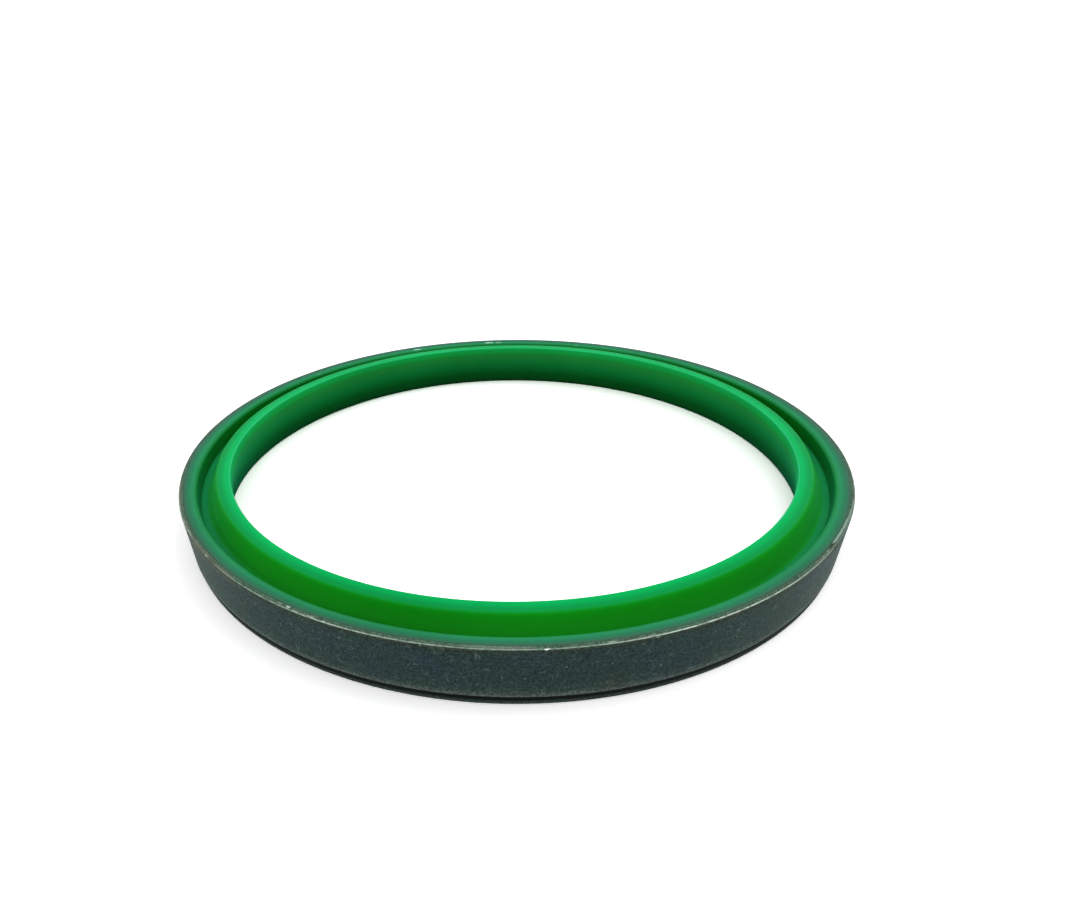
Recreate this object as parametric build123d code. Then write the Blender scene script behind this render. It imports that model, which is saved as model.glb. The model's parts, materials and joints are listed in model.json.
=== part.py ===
from build123d import *
import os

# Rod wiper for a hydraulic cylinder: a turned steel case with a polyurethane
# wiping ring moulded and bonded inside it. Millimetres. The seal lies on the face
# that sits on the housing's shoulder (z = 0), +Z points out of the cylinder, and
# the origin is the centre of that face.

# Fit: the rod that is wiped, and the radial room between rod and housing bore
rod_diameter = 100.0
section_width = 7.5
case_height = 9.0

# Steel case: a thin ring of L section, led into its bore by the taper at its foot
wall_thickness = 1.25
flange_thickness = 1.25
lead_in_height = 1.3
lead_in_depth = 0.2
edge_break = 0.15
bevel_width = 0.6

# Polyurethane heel, round the free end of the case's flange
heel_clearance = 1.65
flange_cover = 1.35
heel_chamfer = 0.3

# Polyurethane lip: squeezed by the rod on a short land under its crest
lip_squeeze = 0.65
lip_rise = 0.5
land_height = 1.4
crest_width = 2.4
lip_nose_radius = 0.5

# Groove behind the lip, and the rim of polyurethane that lines the case's wall
groove_depth = 2.8
groove_floor_width = 1.35
groove_blend_radius = 1.0
rim_thickness = 1.35
rim_draft = 0.2
rim_sink = 0.3
rim_edge_radius = 0.45

rod_radius = rod_diameter / 2
case_radius = rod_radius + section_width
case_inner_radius = case_radius - wall_thickness
bevel_radius = case_inner_radius + bevel_width
heel_radius = rod_radius + heel_clearance
flange_radius = heel_radius + flange_cover
lip_radius = rod_radius - lip_squeeze
crest_radius = lip_radius + crest_width
crest_z = case_height + lip_rise
land_foot_z = crest_z - land_height
groove_z = case_height - groove_depth
rim_radius = case_inner_radius - rim_thickness
groove_outer_radius = rim_radius - rim_draft
groove_inner_radius = groove_outer_radius - groove_floor_width
rim_z = case_height - rim_sink


def section(corners):
    """Closed half section from corners given as (radius, height, rounding)."""
    points = [(radius, height) for radius, height, _ in corners]
    roundings = [rounding for _, _, rounding in corners]
    with BuildSketch(Plane.XZ) as outline:
        with BuildLine():
            FilletPolyline(*points, radius=roundings, close=True)
        make_face()
    return outline.sketch


def bonded_faces():
    """Corners of the case's inside, which the polyurethane is bonded to."""
    return [
        (flange_radius, 0, 0),
        (flange_radius, flange_thickness, 0),
        (case_inner_radius, flange_thickness, 0),
        (case_inner_radius, case_height - bevel_width, 0),
        (bevel_radius, case_height, 0),
    ]


def case_section():
    """Bonded faces, then the top edge, the wall and the lead-in at its foot."""
    return section(bonded_faces() + [
        (case_radius - edge_break, case_height, 0),
        (case_radius, case_height - edge_break, 0),
        (case_radius, lead_in_height, 0),
        (case_radius - lead_in_depth, 0, 0),
    ])


def ring_section():
    """Bonded faces, then the rim, the groove, the lip and the heel."""
    return section(bonded_faces() + [
        (rim_radius, rim_z, rim_edge_radius),
        (groove_outer_radius, groove_z, 0),
        (groove_inner_radius, groove_z, groove_blend_radius),
        (crest_radius, crest_z, 0),
        (lip_radius, crest_z, lip_nose_radius),
        (lip_radius, land_foot_z, 0),
        (heel_radius, heel_chamfer, 0),
        (heel_radius + heel_chamfer, 0, 0),
    ])


def turned(profile):
    """Full ring swept from a half section."""
    return revolve(profile, axis=Axis.Z)


steel_case = turned(case_section())
wiper_ring = turned(ring_section())

os.makedirs("parts", exist_ok=True)
export_step(steel_case, "parts/steel_case.step")
export_step(wiper_ring, "parts/wiper_ring.step")
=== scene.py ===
import bpy
import json
import math
import numpy as np
from mathutils import Matrix, Vector


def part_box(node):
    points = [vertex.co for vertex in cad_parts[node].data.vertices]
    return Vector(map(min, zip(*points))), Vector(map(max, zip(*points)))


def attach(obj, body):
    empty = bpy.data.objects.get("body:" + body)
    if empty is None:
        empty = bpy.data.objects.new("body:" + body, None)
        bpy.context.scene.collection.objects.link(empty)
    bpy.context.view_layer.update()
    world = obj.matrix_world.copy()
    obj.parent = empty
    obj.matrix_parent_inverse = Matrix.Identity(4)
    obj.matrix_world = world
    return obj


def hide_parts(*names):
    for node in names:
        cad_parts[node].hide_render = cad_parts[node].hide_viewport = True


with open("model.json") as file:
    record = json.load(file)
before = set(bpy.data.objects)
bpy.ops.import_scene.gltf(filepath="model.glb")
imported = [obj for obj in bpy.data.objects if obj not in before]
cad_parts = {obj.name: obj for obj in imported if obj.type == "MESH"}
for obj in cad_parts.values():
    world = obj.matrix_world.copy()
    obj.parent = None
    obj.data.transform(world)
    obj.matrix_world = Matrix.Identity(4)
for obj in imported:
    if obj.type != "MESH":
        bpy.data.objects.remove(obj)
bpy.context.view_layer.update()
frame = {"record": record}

# The view: a phone held low in front of the ring, tipped down at it, turned a
# little to one side and not quite level. The picture is a crop of a wider one, so
# the lens looks at a point left of its middle and below it.
camera_distance = 0.1082
camera_height = 0.05818
camera_heading = 0.05829
camera_dip = 0.60053
camera_roll = -0.03073
lens_mm = 21.084
sensor_mm = 36.0
picture_width = 1073
picture_height = 900
lens_axis_x = 477.8
lens_axis_y = 543.0

camera_data = bpy.data.cameras.new("camera")
camera_data.sensor_fit = "HORIZONTAL"
camera_data.sensor_width = sensor_mm
camera_data.lens = lens_mm
camera_data.shift_x = (picture_width / 2 - lens_axis_x) / picture_width
camera_data.shift_y = (lens_axis_y - picture_height / 2) / picture_width
camera_data.clip_start = 0.005
camera = bpy.data.objects.new("camera", camera_data)
camera.matrix_world = (
    Matrix.Translation((0, -camera_distance, camera_height))
    @ Matrix.Rotation(camera_heading, 4, "Z")
    @ Matrix.Rotation(math.pi / 2 - camera_dip, 4, "X")
    @ Matrix.Rotation(camera_roll, 4, "Z")
)
bpy.context.scene.collection.objects.link(camera)
bpy.context.scene.camera = camera

# The steel case: a thin ring turned to an L section and dipped in a phosphate bath,
# which leaves it dark and matt. It goes into its housing foot first, led by the
# taper at its foot, and handling has rubbed its top edge bright and nicked it.
MM = 0.001
case_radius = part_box("steel_case")[1].x / MM
case_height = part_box("steel_case")[1].z / MM
wall_thickness = 1.25
flange_thickness = 1.25
flange_width = 4.5
flange_radius = case_radius - flange_width
case_inner_radius = case_radius - wall_thickness
bevel_width = 0.6
bevel_radius = case_inner_radius + bevel_width
bevel_foot_z = case_height - bevel_width
lead_in_height = 1.3
lead_in_depth = 0.2
foot_radius = 0.12
taper_radius = 0.1
edge_radius = 0.22

# Corners of the half section, anticlockwise: radius, height and rounding in mm
case_outline = {
    "inner corner": (case_inner_radius, flange_thickness, 0),
    "flange end, top": (flange_radius, flange_thickness, 0),
    "flange end, foot": (flange_radius, 0, 0),
    "foot": (case_radius - lead_in_depth, 0, foot_radius),
    "taper top": (case_radius, lead_in_height, taper_radius),
    "top edge": (case_radius, case_height, edge_radius),
    "bevel top": (bevel_radius, case_height, 0),
    "bevel foot": (case_inner_radius, bevel_foot_z, 0),
}


def node(tree, kind, inputs=None, **options):
    """A new node with its options set, and its sockets linked or given values."""
    made = tree.nodes.new(kind)
    for name, value in options.items():
        setattr(made, name, value)
    for socket, value in (inputs or {}).items():
        if isinstance(value, bpy.types.NodeSocket):
            tree.links.new(value, made.inputs[socket])
        else:
            made.inputs[socket].default_value = value
    return made


def turning_tree():
    """Geometry Nodes that round a half section's corners and turn it into a ring."""
    tree = bpy.data.node_groups.new("turned_ring", "GeometryNodeTree")
    for name, kind in (
        ("Section", "NodeSocketGeometry"),
        ("Ring Radius", "NodeSocketFloat"),
        ("Facets", "NodeSocketInt"),
        ("Corner Facets", "NodeSocketInt"),
        ("Longest Step", "NodeSocketFloat"),
        ("Material", "NodeSocketMaterial"),
    ):
        tree.interface.new_socket(name, in_out="INPUT", socket_type=kind)
    tree.interface.new_socket("Ring", in_out="OUTPUT", socket_type="NodeSocketGeometry")
    given = node(tree, "NodeGroupInput").outputs

    # The section is laid flat beside the circle that it is turned round
    inwards = node(
        tree, "ShaderNodeMath", {0: given["Ring Radius"], 1: -1.0}, operation="MULTIPLY"
    )
    shift = node(tree, "ShaderNodeCombineXYZ", {"X": inwards.outputs[0]})
    laid = node(
        tree,
        "GeometryNodeTransform",
        {
            "Geometry": given["Section"],
            "Translation": shift.outputs[0],
            "Rotation": (math.pi / 2, 0, 0),
        },
    )
    corners = node(tree, "GeometryNodeMeshToCurve", {"Mesh": laid.outputs[0]})
    rounding = node(
        tree, "GeometryNodeInputNamedAttribute", {"Name": "rounding"}, data_type="FLOAT"
    )
    rounded = node(
        tree,
        "GeometryNodeFilletCurve",
        {
            "Curve": corners.outputs[0],
            "Count": given["Corner Facets"],
            "Radius": rounding.outputs["Attribute"],
        },
        mode="POLY",
    )

    # Long straights are cut up, so that no step is longer than the one given
    place = node(tree, "GeometryNodeInputPosition").outputs[0]
    following = node(tree, "GeometryNodeOffsetPointInCurve", {"Offset": 1})
    next_place = node(
        tree,
        "GeometryNodeFieldAtIndex",
        {"Index": following.outputs["Point Index"], "Value": place},
        data_type="FLOAT_VECTOR",
        domain="POINT",
    )
    gap = node(
        tree,
        "ShaderNodeVectorMath",
        {0: place, 1: next_place.outputs[0]},
        operation="DISTANCE",
    )
    steps = node(
        tree,
        "ShaderNodeMath",
        {0: gap.outputs["Value"], 1: given["Longest Step"]},
        operation="DIVIDE",
    )
    cuts = node(tree, "FunctionNodeFloatToInt", {0: steps.outputs[0]}, rounding_mode="FLOOR")
    divided = node(
        tree,
        "GeometryNodeSubdivideCurve",
        {"Curve": rounded.outputs[0], "Cuts": cuts.outputs[0]},
    )
    run = node(tree, "GeometryNodeSplineParameter")
    measured = node(
        tree,
        "GeometryNodeStoreNamedAttribute",
        {
            "Geometry": divided.outputs[0],
            "Name": "section_run",
            "Value": run.outputs["Length"],
        },
        data_type="FLOAT",
        domain="POINT",
    )

    circle = node(
        tree,
        "GeometryNodeCurvePrimitiveCircle",
        {"Resolution": given["Facets"], "Radius": given["Ring Radius"]},
        mode="RADIUS",
    )
    upright = node(
        tree, "GeometryNodeSetCurveNormal", {"Curve": circle.outputs[0]}, mode="Z_UP"
    )
    turned = node(
        tree,
        "GeometryNodeCurveToMesh",
        {"Curve": upright.outputs[0], "Profile Curve": measured.outputs[0]},
    )

    # Turned this way round the faces point into the solid, so they are flipped
    outwards = node(tree, "GeometryNodeFlipFaces", {"Mesh": turned.outputs[0]})
    smooth = node(tree, "GeometryNodeSetShadeSmooth", {"Geometry": outwards.outputs[0]})
    real = node(tree, "GeometryNodeRealizeInstances", {"Geometry": smooth.outputs[0]})
    finished = node(
        tree,
        "GeometryNodeSetMaterial",
        {"Geometry": real.outputs[0], "Material": given["Material"]},
    )
    node(tree, "NodeGroupOutput", {"Ring": finished.outputs[0]})
    return tree


turned_ring = turning_tree()


def turned_piece(name, outline, material, facets, corner_facets, longest_step):
    """A ring turned from a half section, as a plain mesh on an object at the origin."""
    corners = np.array(list(outline.values())) * MM
    section = bpy.data.meshes.new(name + "_section")
    ends = [(i, (i + 1) % len(corners)) for i in range(len(corners))]
    section.from_pydata([(radius, 0, height) for radius, height, _ in corners], ends, [])
    rounding = section.attributes.new("rounding", "FLOAT", "POINT")
    rounding.data.foreach_set("value", corners[:, 2].astype(np.float32))
    piece = bpy.data.objects.new(name, section)
    bpy.context.scene.collection.objects.link(piece)
    turning = piece.modifiers.new("turned_ring", "NODES")
    turning.node_group = turned_ring
    sizes = {
        "Ring Radius": case_radius * MM,
        "Facets": facets,
        "Corner Facets": corner_facets,
        "Longest Step": longest_step * MM,
        "Material": material,
    }
    for socket in turned_ring.interface.items_tree:
        if socket.name in sizes:
            turning[socket.identifier] = sizes[socket.name]
    seen = piece.evaluated_get(bpy.context.evaluated_depsgraph_get())
    mesh = bpy.data.meshes.new_from_object(seen)
    mesh.name = name
    piece.modifiers.remove(turning)
    piece.data = mesh
    return piece


def runs_along(outline):
    """Distance along a rounded outline to each corner's middle, and the whole length."""
    corners = [Vector(corner[:2]) for corner in outline.values()]
    rounding = [corner[2] for corner in outline.values()]
    runs = {}
    run = 0.0
    for i, name in enumerate(outline):
        before = corners[i] - corners[i - 1]
        after = corners[(i + 1) % len(corners)] - corners[i]
        turn = before.angle(after)
        saved = rounding[i] * (2 * math.tan(turn / 2) - turn)
        runs[name] = run - saved / 2
        run += after.length - saved
    return runs, run


def srgb(red, green, blue):
    """Linear colour from the usual 0 to 255 values."""
    return tuple(
        (c / 255 / 12.92) if c <= 10 else ((c / 255 + 0.055) / 1.055) ** 2.4
        for c in (red, green, blue)
    ) + (1.0,)


def painted_along(tree, outline, stops):
    """Colour that changes along a section: each stop is a corner, an offset and a colour."""
    runs, whole = runs_along(outline)
    run = node(tree, "ShaderNodeAttribute", attribute_name="section_run")
    share = node(
        tree,
        "ShaderNodeMapRange",
        {"Value": run.outputs["Fac"], "From Max": whole * MM},
        clamp=True,
    )
    ramp = node(tree, "ShaderNodeValToRGB", {"Fac": share.outputs["Result"]})
    elements = ramp.color_ramp.elements
    elements.remove(elements[1])
    for i, (corner, offset, colour) in enumerate(stops):
        place = (runs[corner] + offset) / whole
        element = elements[0] if i == 0 else elements.new(place)
        element.position = place
        element.color = colour
    return ramp.outputs["Color"]


def mixed(tree, share, first, second, blend="MIX"):
    """Mix of two colours, by a share from 0 to 1."""
    mix = node(tree, "ShaderNodeMix", data_type="RGBA", blend_type=blend)
    for socket, value in (("Factor_Float", share), ("A_Color", first), ("B_Color", second)):
        found = next(s for s in mix.inputs if s.identifier == socket)
        if isinstance(value, bpy.types.NodeSocket):
            tree.links.new(value, found)
        else:
            found.default_value = value
    return next(s for s in mix.outputs if s.identifier == "Result_Color")


def window(tree, value, low, high, at_low=0.0, at_high=1.0):
    """Smooth step of a value from one number to another."""
    return node(
        tree,
        "ShaderNodeMapRange",
        {
            "Value": value,
            "From Min": low,
            "From Max": high,
            "To Min": at_low,
            "To Max": at_high,
        },
        interpolation_type="SMOOTHSTEP",
    ).outputs["Result"]


def step_at(tree, run, corner_run, start, end, at_start=0.0, at_end=1.0):
    """Smooth step along the section, between two offsets in mm from a corner."""
    return window(
        tree, run, (corner_run + start) * MM, (corner_run + end) * MM, at_start, at_end
    )


def product(tree, first, second):
    """Product of two values."""
    return node(
        tree, "ShaderNodeMath", {0: first, 1: second}, operation="MULTIPLY"
    ).outputs[0]


def streaked(tree, place, run, length, width):
    """Noise drawn out round the ring, in streaks of about this length and width in mm."""
    flat = node(
        tree, "ShaderNodeVectorMath", {0: place, 1: (1, 1, 0)}, operation="MULTIPLY"
    )
    lifted = node(tree, "ShaderNodeCombineXYZ", {"Z": run})
    joined = node(
        tree,
        "ShaderNodeVectorMath",
        {0: flat.outputs[0], 1: lifted.outputs[0]},
        operation="ADD",
    )
    around, across = 1 / (length * MM), 1 / (width * MM)
    stretched = node(
        tree,
        "ShaderNodeVectorMath",
        {0: joined.outputs[0], 1: (around, around, across)},
        operation="MULTIPLY",
    )
    return node(
        tree,
        "ShaderNodeTexNoise",
        {"Vector": stretched.outputs[0], "Scale": 1.0, "Detail": 2.0},
    ).outputs["Fac"]


def angle_round(tree, place):
    """Degrees round the ring from the front, positive to the right."""
    parts = node(tree, "ShaderNodeSeparateXYZ", {"Vector": place}).outputs
    forwards = product(tree, parts["Y"], -1.0)
    angle = node(tree, "ShaderNodeMath", {0: parts["X"], 1: forwards}, operation="ARCTAN2")
    return product(tree, angle.outputs[0], 180 / math.pi)


def shifted(tree, value, noise, reach):
    """A value moved to and fro by a noise, by half the reach each way."""
    centred = node(tree, "ShaderNodeMath", {0: noise, 1: 0.5}, operation="SUBTRACT").outputs[0]
    moved = product(tree, centred, reach)
    return node(tree, "ShaderNodeMath", {0: value, 1: moved}, operation="ADD").outputs[0]


def spot(tree, angle, run, degrees, middle, length, width):
    """1 on a spot that is long round the ring and wide along the section, in mm."""
    around = node(tree, "ShaderNodeMath", {0: angle, 1: degrees}, operation="SUBTRACT")
    along = product(tree, around.outputs[0], math.radians(case_radius) * 2 / length)
    across = node(tree, "ShaderNodeMath", {0: run, 1: middle * MM}, operation="SUBTRACT")
    beside = product(tree, across.outputs[0], 2 / (width * MM))
    away = node(tree, "ShaderNodeCombineXYZ", {"X": along, "Y": beside})
    far = node(tree, "ShaderNodeVectorMath", {0: away.outputs[0]}, operation="LENGTH")
    return window(tree, far.outputs["Value"], 1.2, 0.7)


def strongest(tree, shares):
    """The largest of several values."""
    largest = shares[0]
    for share in shares[1:]:
        largest = node(
            tree, "ShaderNodeMath", {0: largest, 1: share}, operation="MAXIMUM"
        ).outputs[0]
    return largest


slate = srgb(42, 62, 59)
slate_low = srgb(48, 67, 63)
wall_blue = srgb(42, 56, 70)
wall_brown = srgb(62, 62, 50)
scuff_grey = srgb(104, 122, 114)
speck_grey = srgb(150, 164, 156)
worn_steel = srgb(192, 208, 198)
# Near white on the barest steel: painted glint
bare_steel_glint = srgb(240, 244, 238)
rubbed_brown = srgb(82, 88, 72)
# Painted shade: the black under the wall's lower edge
top_grey = srgb(70, 96, 78)
taper_shade_black = srgb(2, 5, 6)
scraped_green = srgb(134, 162, 148)
edge_brown = srgb(112, 110, 94)
# Painted shade in the nicks
nick_shade_dark = srgb(34, 52, 40)

# Scales of the noises in the phosphate, in waves a metre
mottle_scale = 110.0
grain_scale = 3600.0
speck_scale = 1500.0
hairline_scale = 700.0

# Wear of the top edge: degrees round from the front, and how bare the edge is there
edge_wear = [
    (-100, 0.4),
    (-62, 0.45),
    (-53.5, 0.5),
    (-52.5, 0.05),
    (-44.0, 0.05),
    (-42.5, 0.25),
    (-30, 0.5),
    (-24, 0.75),
    (-12, 0.6),
    (0, 0.5),
    (8, 0.45),
    (20, 0.9),
    (35, 0.85),
    (45, 0.5),
    (51, 0.2),
    (75, 0.35),
]

# Marks beside the top edge: degrees round from the front, then mm along the section
# in from the edge, length, width and how strong the mark is. The dark marks are painted
# shade in and beside the nicks, and the strongest bare marks are painted glints.
mark_offset = 0.08
bare_and_glint_spots = [
    (-53.5, 0.05, 2.2, 0.16, 0.5),
    (-46.2, 0.06, 0.8, 0.16, 0.6),
    (-29.4, 0.3, 0.6, 0.3, 0.3),
    (-28.0, 0.3, 0.6, 0.3, 0.85),
    (-26.7, 0.1, 0.9, 0.22, 0.35),
    (-24.4, 0.12, 1.2, 0.26, 0.5),
    (-22.4, 0.04, 0.6, 0.2, 0.75),
    (-17.8, -0.02, 0.3, 0.16, 0.8),
    (-9.9, -0.24, 0.3, 0.4, 0.25),
    (-8.8, -0.02, 0.4, 0.14, 0.6),
    (-1.5, 0.3, 9.0, 0.44, 0.14),
    (0.6, 0.0, 0.3, 0.2, 0.5),
    (4.3, -0.02, 0.8, 0.2, 1.0),
    (11.7, 0.14, 1.2, 0.34, 0.4),
    (16.7, 0.12, 0.8, 0.36, 0.3),
    (17.2, -0.2, 0.5, 0.5, 0.22),
    (46.4, 0.24, 1.2, 0.14, 0.3),
    (48.0, 0.28, 0.6, 0.2, 0.4),
]
scraped_spots = [
    (51.4, 0.42, 2.2, 0.42, 1.0),
    (53.4, 0.38, 4.0, 0.38, 1.0),
    (56.2, 0.31, 4.6, 0.3, 0.95),
    (59.2, 0.22, 4.6, 0.2, 0.8),
    (62.6, 0.15, 4.6, 0.14, 0.6),
]
brown_spots = [
    (-66.0, 0.2, 12.0, 0.5, 0.4),
    (-56.0, 0.2, 5.0, 0.4, 0.5),
    (-50.5, 0.05, 6.0, 0.6, 0.6),
    (-47.0, -0.55, 22.0, 1.3, 0.2),
    (-51.0, -0.9, 1.6, 1.4, 0.35),
    (-46.5, 0.15, 5.0, 0.6, 0.5),
    (-41.0, 0.1, 6.0, 0.4, 0.5),
    (45.5, 0.26, 3.0, 0.26, 0.5),
]
# Painted shade in and beside the nicks
nick_shade_spots = [
    (49.7, 0.4, 1.5, 0.46, 0.9),
    (47.2, 0.46, 2.4, 0.14, 0.5),
    (-44.6, 0.1, 1.8, 0.4, 0.35),
    (-54.6, 0.42, 2.6, 0.14, 0.5),
]


def marked(tree, angle, run, spots):
    """How strongly a list of marks beside the top edge covers a place."""
    edge_run = runs_along(case_outline)[0]["top edge"] + mark_offset
    shares = []
    for degrees, inwards, length, width, share in spots:
        covered = spot(tree, angle, run, degrees, edge_run + inwards, length, width)
        shares.append(product(tree, covered, share))
    return strongest(tree, shares)


def phosphate():
    """Matt dark phosphate: mottled slate, speckled, rubbed through along its top edge. Shade is
    painted on the taper and in the nicks, and highlights along the wall's lower edge and on the
    barest spots.
    """
    material = bpy.data.materials.new("phosphated_steel")
    material.use_nodes = True
    tree = material.node_tree
    shader = tree.nodes["Principled BSDF"]
    place = node(tree, "ShaderNodeTexCoord").outputs["Object"]
    runs, _ = runs_along(case_outline)
    taper, edge = runs["taper top"], runs["top edge"]
    run = node(tree, "ShaderNodeAttribute", attribute_name="section_run").outputs["Fac"]
    angle = angle_round(tree, place)

    zones = painted_along(
        tree,
        case_outline,
        [
            ("inner corner", 0, slate),
            # The taper darkens from its foot up to black under the wall's lower edge: painted
            # shade. A pale line along that edge, fading up the wall: painted highlight.
            ("foot", -0.3, srgb(50, 58, 58)),
            ("foot", 0.4, srgb(60, 72, 68)),
            ("taper top", -0.56, srgb(28, 37, 35)),
            ("taper top", -0.32, taper_shade_black),
            ("taper top", 0.12, taper_shade_black),
            ("taper top", 0.2, srgb(96, 106, 101)),
            ("taper top", 0.45, srgb(75, 88, 83)),
            ("taper top", 1.1, slate_low),
            ("taper top", 3.0, slate),
            ("top edge", -0.8, slate),
            ("top edge", -0.45, srgb(42, 56, 50)),
            ("top edge", -0.15, srgb(42, 55, 48)),
            ("top edge", 0.05, top_grey),
            ("top edge", 0.25, top_grey),
            ("bevel top", 0.0, srgb(62, 100, 78)),
        ],
    )
    broad = node(
        tree, "ShaderNodeTexNoise", {"Vector": place, "Scale": mottle_scale, "Detail": 3.0}
    )
    bluish = window(tree, broad.outputs["Fac"], 0.5, 0.66, 0.0, 0.5)
    brownish = window(tree, broad.outputs["Fac"], 0.44, 0.3, 0.0, 0.3)
    above_foot = step_at(tree, run, taper, 0.2, 0.5)
    below_edge = step_at(tree, run, edge, -0.1, -0.4)
    on_wall = product(tree, above_foot, below_edge)
    colour = mixed(tree, product(tree, bluish, on_wall), zones, wall_blue)
    colour = mixed(tree, product(tree, brownish, on_wall), colour, wall_brown)

    # Scuffs drawn out round the wall, close together near its foot and few above
    low_down = step_at(tree, run, taper, 2.2, 0.4, 0.3, 0.8)
    rubs = window(tree, streaked(tree, place, run, length=1.4, width=0.3), 0.55, 0.75)
    gathered = window(tree, streaked(tree, place, run, length=9.0, width=3.0), 0.42, 0.62)
    scuffs = product(tree, product(tree, rubs, gathered), product(tree, low_down, on_wall))
    colour = mixed(tree, scuffs, colour, scuff_grey)

    # Turning marks on the narrow top face, rubbed brown in places
    marks = streaked(tree, place, run, length=6.0, width=0.12)
    on_top = step_at(tree, run, edge, -0.5, -0.2)
    rubbed_marks = product(tree, on_top, window(tree, marks, 0.45, 0.65, 0.0, 0.5))
    colour = mixed(tree, rubbed_marks, colour, rubbed_brown)

    fine = node(
        tree, "ShaderNodeTexNoise", {"Vector": place, "Scale": grain_scale, "Detail": 4.0}
    )
    grain = window(tree, fine.outputs["Fac"], 0.38, 0.62, 0.6, 1.4)
    grained = mixed(tree, 1.0, colour, grain, blend="MULTIPLY")

    # Pale specks: a few of the cells of a Voronoi pattern, gathered in loose fields
    cells = node(tree, "ShaderNodeTexVoronoi", {"Vector": place, "Scale": speck_scale})
    near = window(tree, cells.outputs["Distance"], 0.26, 0.1)
    chosen = node(tree, "ShaderNodeSeparateColor", {"Color": cells.outputs["Color"]})
    few = window(tree, chosen.outputs["Red"], 0.84, 1.0, 0.0, 0.7)
    gatherings = streaked(tree, place, run, length=5.0, width=2.5)
    fields = window(tree, gatherings, 0.4, 0.66, 0.15, 1.0)
    specks = product(tree, product(tree, near, few), fields)

    # Hairline scratches: thin curves where a smooth noise passes its middle value
    curves = node(
        tree, "ShaderNodeTexNoise", {"Vector": place, "Scale": hairline_scale, "Detail": 0.0}
    )
    from_middle = node(
        tree,
        "ShaderNodeMath",
        {0: curves.outputs["Fac"], 1: 0.5, 2: 0.016},
        operation="COMPARE",
    )
    patches = streaked(tree, place, run, length=1.6, width=1.6)
    kept = window(tree, patches, 0.5, 0.66, 0.0, 0.24)
    hairlines = product(tree, from_middle.outputs[0], kept)
    lighter = product(tree, strongest(tree, [specks, hairlines]), on_wall)
    speckled = mixed(tree, lighter, grained, speck_grey)

    # The top edge is rubbed to bare steel, with ragged nicks and a scrape beside it. The
    # nicks carry painted shade, and the barest spots a painted glint.
    ragged = node(tree, "ShaderNodeSeparateColor", {"Color": fine.outputs["Color"]}).outputs
    ragged_angle = shifted(tree, angle, ragged["Red"], 0.9)
    ragged_run = shifted(tree, run, ragged["Green"], 0.3 * MM)
    nick_shade = marked(tree, ragged_angle, ragged_run, nick_shade_spots)
    scraped = marked(tree, ragged_angle, ragged_run, scraped_spots)
    brown = marked(tree, ragged_angle, ragged_run, brown_spots)
    marked_face = mixed(tree, nick_shade, mixed(tree, brown, speckled, edge_brown), nick_shade_dark)
    marked_face = mixed(tree, scraped, marked_face, scraped_green)
    turn = node(tree, "ShaderNodeMapRange", {"Value": angle, "From Min": -180, "From Max": 180})
    wear = node(tree, "ShaderNodeValToRGB", {"Fac": turn.outputs["Result"]})
    for i, (degrees, share) in enumerate(edge_wear):
        stops = wear.color_ramp.elements
        stop = stops[i] if i < 2 else stops.new(1)
        stop.position = (degrees + 180) / 360
        stop.color = (share, share, share, 1)
    broken = streaked(tree, place, run, length=0.9, width=3.0)
    dashes = window(tree, broken, 0.32, 0.56, 0.45, 1.0)
    edge_in = step_at(tree, run, edge, -0.03, 0.03)
    edge_out = step_at(tree, run, edge, 0.18, 0.1)
    on_edge = product(tree, edge_in, edge_out)
    worn = product(tree, on_edge, product(tree, wear.outputs[0], dashes))
    rubbed = strongest(tree, [worn, marked(tree, ragged_angle, ragged_run, bare_and_glint_spots)])
    # Where the rubbing is strongest the steel turns near white: painted glint.
    bare_glint = window(tree, rubbed, 0.84, 1.0)
    finish = mixed(tree, rubbed, marked_face, mixed(tree, bare_glint, worn_steel, bare_steel_glint))
    tree.links.new(finish, shader.inputs["Base Color"])
    tree.links.new(window(tree, rubbed, 0.5, 1.0, 0.0, 0.4), shader.inputs["Metallic"])
    tree.links.new(window(tree, rubbed, 0.0, 1.0, 0.62, 0.4), shader.inputs["Roughness"])
    gloss = step_at(tree, run, taper, -0.1, 0.0, 0.0, 0.045)
    tree.links.new(gloss, shader.inputs["Specular IOR Level"])
    shader.inputs["Sheen Weight"].default_value = 0.08
    shader.inputs["Sheen Roughness"].default_value = 0.5
    shader.inputs["Sheen Tint"].default_value = (0.78, 1.0, 0.84, 1)
    bump = node(
        tree,
        "ShaderNodeBump",
        {"Height": fine.outputs["Fac"], "Strength": 0.3, "Distance": 0.02 * MM},
    )
    tree.links.new(bump.outputs["Normal"], shader.inputs["Normal"])
    return material


steel_case = turned_piece(
    "turned_steel_case",
    case_outline,
    phosphate(),
    facets=1440,
    corner_facets=4,
    longest_step=0.5,
)

# Nicks in the top edge: degrees round from the front, then length along the edge,
# width and depth in mm
nicks = [
    (-53.5, 0.7, 0.2, 0.08),
    (-44.5, 1.6, 0.2, 0.08),
    (-27.8, 0.9, 0.3, 0.08),
    (-17.8, 0.5, 0.15, 0.05),
    (0.5, 0.5, 0.15, 0.05),
    (4.3, 0.9, 0.2, 0.09),
    (11.6, 0.8, 0.2, 0.06),
    (16.9, 0.6, 0.25, 0.08),
    (49.8, 0.9, 0.35, 0.16),
]
nick_inset = 0.08


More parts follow.
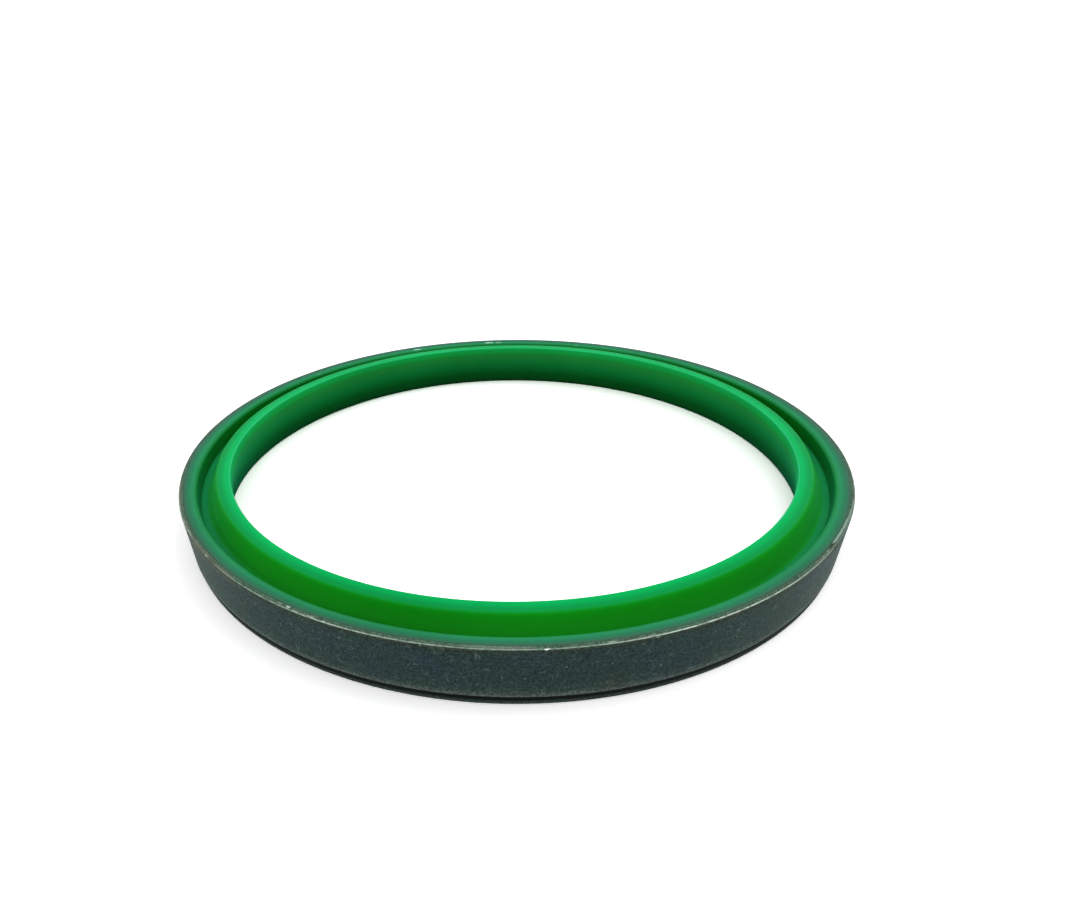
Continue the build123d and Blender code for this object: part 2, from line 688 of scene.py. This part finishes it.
def nick_edge(piece):
    """Presses each nick into the case's top edge."""
    mesh = piece.data
    places = np.empty(len(mesh.vertices) * 3, np.float32)
    mesh.vertices.foreach_get("co", places)
    places = places.reshape(-1, 3).astype(float)
    edge = (case_radius - nick_inset) * MM
    top = np.array([0, 0, (case_height - nick_inset) * MM])
    for degrees, length, width, depth in nicks:
        angle = math.radians(degrees)
        outwards = np.array([math.sin(angle), -math.cos(angle), 0])
        centre = outwards * edge + top
        round_ring = np.array([math.cos(angle), math.sin(angle), 0])
        away = places - centre
        along = (away @ round_ring) / (length * MM / 2)
        across = np.hypot(away @ outwards, away[:, 2]) / (width * MM)
        pressed = np.exp(-(along**2) - across**2)
        direction = -(outwards + np.array([0, 0, 1])) / math.sqrt(2)
        places += pressed[:, None] * direction * depth * MM
    mesh.vertices.foreach_set("co", places.astype(np.float32).ravel())
    mesh.update()


nick_edge(steel_case)
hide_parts("steel_case")
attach(steel_case, "root")

# The wiper ring: green polyurethane cast into the case and bonded to its inside. A
# thick lip leans in and wipes the rod, with a groove behind it that lets it bend,
# and the rim between groove and case covers the bevel in the steel.
crest_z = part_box("wiper_ring")[1].z / MM
rod_bore = next(m for m in frame["record"]["mounts"] if m["name"] == "rod_bore")
lip_radius = rod_bore["dims"]["r_mm"]
crest_width = 2.32
crest_fall = 0.12
land_height = 1.4
heel_radius = 51.65
heel_chamfer = 0.3
rim_thickness = 1.35
rim_sink = 0.3
rim_draft = 0.2
groove_depth = 2.8
groove_floor_width = 1.35
rim_radius = case_inner_radius - rim_thickness
rim_z = case_height - rim_sink
groove_z = case_height - groove_depth
groove_outer_radius = rim_radius - rim_draft
groove_inner_radius = groove_outer_radius - groove_floor_width

ring_outline = {
    "bond, inner corner": (case_inner_radius, flange_thickness, 0),
    "bond, bevel foot": (case_inner_radius, bevel_foot_z, 0),
    "rim, outer": (bevel_radius, case_height, 0),
    "rim, inner": (rim_radius, rim_z, 0.45),
    "groove, outer": (groove_outer_radius, groove_z, 0.15),
    "groove, inner": (groove_inner_radius, groove_z, 1.0),
    "crest": (lip_radius + crest_width, crest_z - crest_fall, 0.7),
    "nose": (lip_radius, crest_z + crest_fall / 4, 0.5),
    "land foot": (lip_radius, crest_z - land_height, 0.2),
    "heel": (heel_radius, heel_chamfer, 0.1),
    "heel foot": (heel_radius + heel_chamfer, 0, 0.1),
    "flange, foot": (flange_radius, 0, 0),
    "flange, top": (flange_radius, flange_thickness, 0),
}

# Painted glints on the rim's inner rounding: degrees round from the front, then mm
# along the section from the rim's inner corner, length, width and how strong each is
rim_glints = [
    (-177.3, -0.75, 1.8, 0.34, 0.4),
    (-174.9, -0.8, 2.2, 0.46, 0.8),
    (-155.5, -0.75, 2.2, 0.42, 0.75),
    (-127.0, -0.3, 1.0, 0.26, 0.25),
    (162.0, -0.3, 1.2, 0.26, 0.2),
]
rim_glint_pale = srgb(205, 255, 238)

# Scales of the noises in the polyurethane, in waves a metre
cloud_scale = 45.0
satin_scale = 700.0
glint_edge_scale = 2500.0


def polyurethane():
    """Cast green polyurethane, satin and a little translucent, with light and shade painted
    along its section.
    """
    material = bpy.data.materials.new("polyurethane")
    material.use_nodes = True
    tree = material.node_tree
    shader = tree.nodes["Principled BSDF"]
    place = node(tree, "ShaderNodeTexCoord").outputs["Object"]
    zones = painted_along(
        tree,
        ring_outline,
        [
            ("bond, inner corner", 0, srgb(20, 110, 60)),
            ("bond, bevel foot", 0.3, srgb(74, 98, 84)),
            ("rim, outer", 0.0, srgb(74, 98, 84)),
            ("rim, outer", 0.35, srgb(54, 108, 82)),
            ("rim, outer", 0.8, srgb(42, 120, 84)),
            ("rim, inner", -0.55, srgb(42, 138, 90)),
            ("rim, inner", -0.2, srgb(36, 130, 72)),
            ("rim, inner", 0.15, srgb(28, 134, 66)),
            # The groove's outer wall, dark green: painted shade.
            ("rim, inner", 0.5, srgb(6, 104, 14)),
            ("groove, outer", -0.2, srgb(4, 94, 8)),
            # The groove's floor, teal: painted reflection of the bright room above.
            ("groove, outer", 0.15, srgb(26, 150, 84)),
            ("groove, inner", -0.4, srgb(26, 150, 84)),
            # The lip's outer face, lighter low down where the groove shades it: painted light.
            ("groove, inner", 0.1, srgb(26, 154, 40)),
            ("groove, inner", 0.8, srgb(26, 152, 30)),
            ("crest", -1.4, srgb(20, 140, 22)),
            ("crest", -0.7, srgb(16, 140, 18)),
            # The crest, paler and bluer than the lip face and brightest towards the nose:
            # painted reflection of the room above and painted light.
            ("crest", -0.06, srgb(15, 142, 24)),
            ("crest", 0.14, srgb(17, 150, 62)),
            ("crest", 0.7, srgb(14, 150, 74)),
            ("nose", -0.8, srgb(8, 172, 84)),
            ("nose", -0.16, srgb(14, 180, 94)),
            # A thin pale line along the nose: painted highlight.
            ("nose", 0.0, srgb(70, 196, 136)),
            ("nose", 0.16, srgb(16, 178, 90)),
            ("nose", 0.45, srgb(18, 172, 78)),
            # The inner face, bright below the nose and darkening down to the foot: painted
            # light and shade.
            ("land foot", 0.3, srgb(30, 158, 62)),
            ("land foot", 1.2, srgb(34, 148, 66)),
            ("land foot", 3.0, srgb(18, 138, 60)),
            ("heel", -2.0, srgb(8, 94, 32)),
            ("heel", -1.0, srgb(12, 90, 34)),
            ("heel", 0.0, srgb(10, 70, 24)),
            ("flange, top", 0.0, srgb(2, 62, 18)),
        ],
    )
    cloudy = node(
        tree, "ShaderNodeTexNoise", {"Vector": place, "Scale": cloud_scale, "Detail": 3.0}
    )
    swirl = window(tree, cloudy.outputs["Fac"], 0.3, 0.7, 0.93, 1.07)
    colour = mixed(tree, 1.0, zones, swirl, blend="MULTIPLY")
    fine = node(
        tree, "ShaderNodeTexNoise", {"Vector": place, "Scale": satin_scale, "Detail": 2.0}
    )
    satin = window(tree, fine.outputs["Fac"], 0.3, 0.7, 0.4, 0.5)
    tree.links.new(satin, shader.inputs["Roughness"])

    # Painted glints on the rim, with ragged edges
    runs, _ = runs_along(ring_outline)
    run = node(tree, "ShaderNodeAttribute", attribute_name="section_run").outputs["Fac"]
    glint_edges = node(
        tree, "ShaderNodeTexNoise", {"Vector": place, "Scale": glint_edge_scale, "Detail": 3.0}
    )
    ragged = node(tree, "ShaderNodeSeparateColor", {"Color": glint_edges.outputs["Color"]}).outputs
    angle = shifted(tree, angle_round(tree, place), ragged["Red"], 1.6)
    across = shifted(tree, run, ragged["Green"], 0.6 * MM)
    shares = []
    for degrees, offset, length, width, share in rim_glints:
        middle = runs["rim, inner"] + offset
        covered = spot(tree, angle, across, degrees, middle, length, width)
        shares.append(product(tree, covered, share))
    colour = mixed(tree, strongest(tree, shares), colour, rim_glint_pale)
    tree.links.new(colour, shader.inputs["Base Color"])
    gloss = step_at(tree, run, runs["nose"], -0.6, 0.1, 0.012, 0.0)
    tree.links.new(gloss, shader.inputs["Specular IOR Level"])
    shader.inputs["Sheen Weight"].default_value = 0.14
    shader.inputs["Sheen Roughness"].default_value = 0.35
    shader.inputs["Sheen Tint"].default_value = (0.1, 1.0, 0.8, 1)
    shader.inputs["Specular Tint"].default_value = (0.2, 1.0, 0.6, 1)
    shader.inputs["Subsurface Weight"].default_value = 0.3
    shader.inputs["Subsurface Radius"].default_value = (0.2, 1.0, 0.4)
    shader.inputs["Subsurface Scale"].default_value = 0.8 * MM
    bump = node(
        tree,
        "ShaderNodeBump",
        {"Height": fine.outputs["Fac"], "Strength": 0.1, "Distance": 0.01 * MM},
    )
    tree.links.new(bump.outputs["Normal"], shader.inputs["Normal"])
    return material


wiper_ring = turned_piece(
    "cast_wiper_ring",
    ring_outline,
    polyurethane(),
    facets=720,
    corner_facets=6,
    longest_step=0.4,
)
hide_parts("wiper_ring")
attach(wiper_ring, "root")

# The table: a white sheet, overexposed as the camera and the reflections see it, most
# of all inside the ring, so only the shade close to the ring shows. The lip throws a
# little of its green on it there.
floor_reach = 3.0
bright_inside = 1.85
bright_outside = 1.42
bright_for_light = 0.42
plain = (1, 1, 1, 1)
green_cast = (1.02, 1.08, 1.02, 1)

# Where the sheet changes, in mm from the middle
bright_until = 49.0
dimmer_from = 56.0
cast_start = 49.5
cast_full = 51.7
cast_fades = 53.0
cast_end = 56.0

floor_mesh = bpy.data.meshes.new("table")
floor_mesh.from_pydata(
    [(x * floor_reach, y * floor_reach, 0) for x, y in ((-1, -1), (1, -1), (1, 1), (-1, 1))],
    [],
    [(0, 1, 2, 3)],
)
floor = bpy.data.objects.new("table", floor_mesh)
bpy.context.scene.collection.objects.link(floor)


def seen_directly(tree):
    """1 for rays from the camera and for mirrored and refracted ones, 0 for the rest."""
    path = node(tree, "ShaderNodeLightPath").outputs
    seen = node(
        tree,
        "ShaderNodeMath",
        {0: path["Is Camera Ray"], 1: path["Is Glossy Ray"]},
        operation="MAXIMUM",
    )
    return node(
        tree,
        "ShaderNodeMath",
        {0: seen.outputs[0], 1: path["Is Transmission Ray"]},
        operation="MAXIMUM",
    ).outputs[0]


white_table = bpy.data.materials.new("white_table")
white_table.use_nodes = True
tree = white_table.node_tree
tree.nodes.remove(tree.nodes["Principled BSDF"])
seen = seen_directly(tree)
middle = node(tree, "ShaderNodeTexCoord").outputs["Object"]
reach = node(tree, "ShaderNodeVectorMath", {0: middle}, operation="LENGTH").outputs["Value"]
overexposed = window(
    tree, reach, bright_until * MM, dimmer_from * MM, bright_inside, bright_outside
)
shade = node(
    tree,
    "ShaderNodeMapRange",
    {"Value": seen, "To Min": bright_for_light, "To Max": overexposed},
).outputs["Result"]
cast_inner = window(tree, reach, cast_start * MM, cast_full * MM)
cast_outer = window(tree, reach, cast_end * MM, cast_fades * MM)
cast = mixed(tree, product(tree, cast_inner, cast_outer), plain, green_cast)
sheet_colour = mixed(tree, 1.0, shade, cast, blend="MULTIPLY")
sheet = node(tree, "ShaderNodeBsdfDiffuse", {"Color": sheet_colour})
tree.links.new(sheet.outputs[0], tree.nodes["Material Output"].inputs["Surface"])
floor_mesh.materials.append(white_table)

# The light: a pale room that lights the ring evenly from all sides, with a wide soft
# lamp high up on the right and a weaker one on the left.
world = bpy.data.worlds.new("pale_room")
bpy.context.scene.world = world
world.use_nodes = True
tree = world.node_tree
background = tree.nodes["Background"]
room_light = 0.83
strength = window(tree, seen_directly(tree), 0.0, 1.0, room_light, 1.0)
background.inputs["Color"].default_value = (1, 1, 1, 1)
tree.links.new(strength, background.inputs["Strength"])


def lamp(name, place, size, power):
    """A square soft lamp that points at the ring."""
    data = bpy.data.lights.new(name, "AREA")
    data.shape = "SQUARE"
    data.size = size
    data.energy = power
    made = bpy.data.objects.new(name, data)
    made.matrix_world = Matrix.Translation(place) @ (
        Vector(place).to_track_quat("Z", "Y").to_matrix().to_4x4()
    )
    bpy.context.scene.collection.objects.link(made)


lamp("key_lamp", (0.7, 0.3, 1.15), 0.9, 4.0)
lamp("fill_lamp", (-0.6, -0.7, 0.9), 0.8, 2.5)

bpy.context.scene.view_settings.view_transform = "Standard"
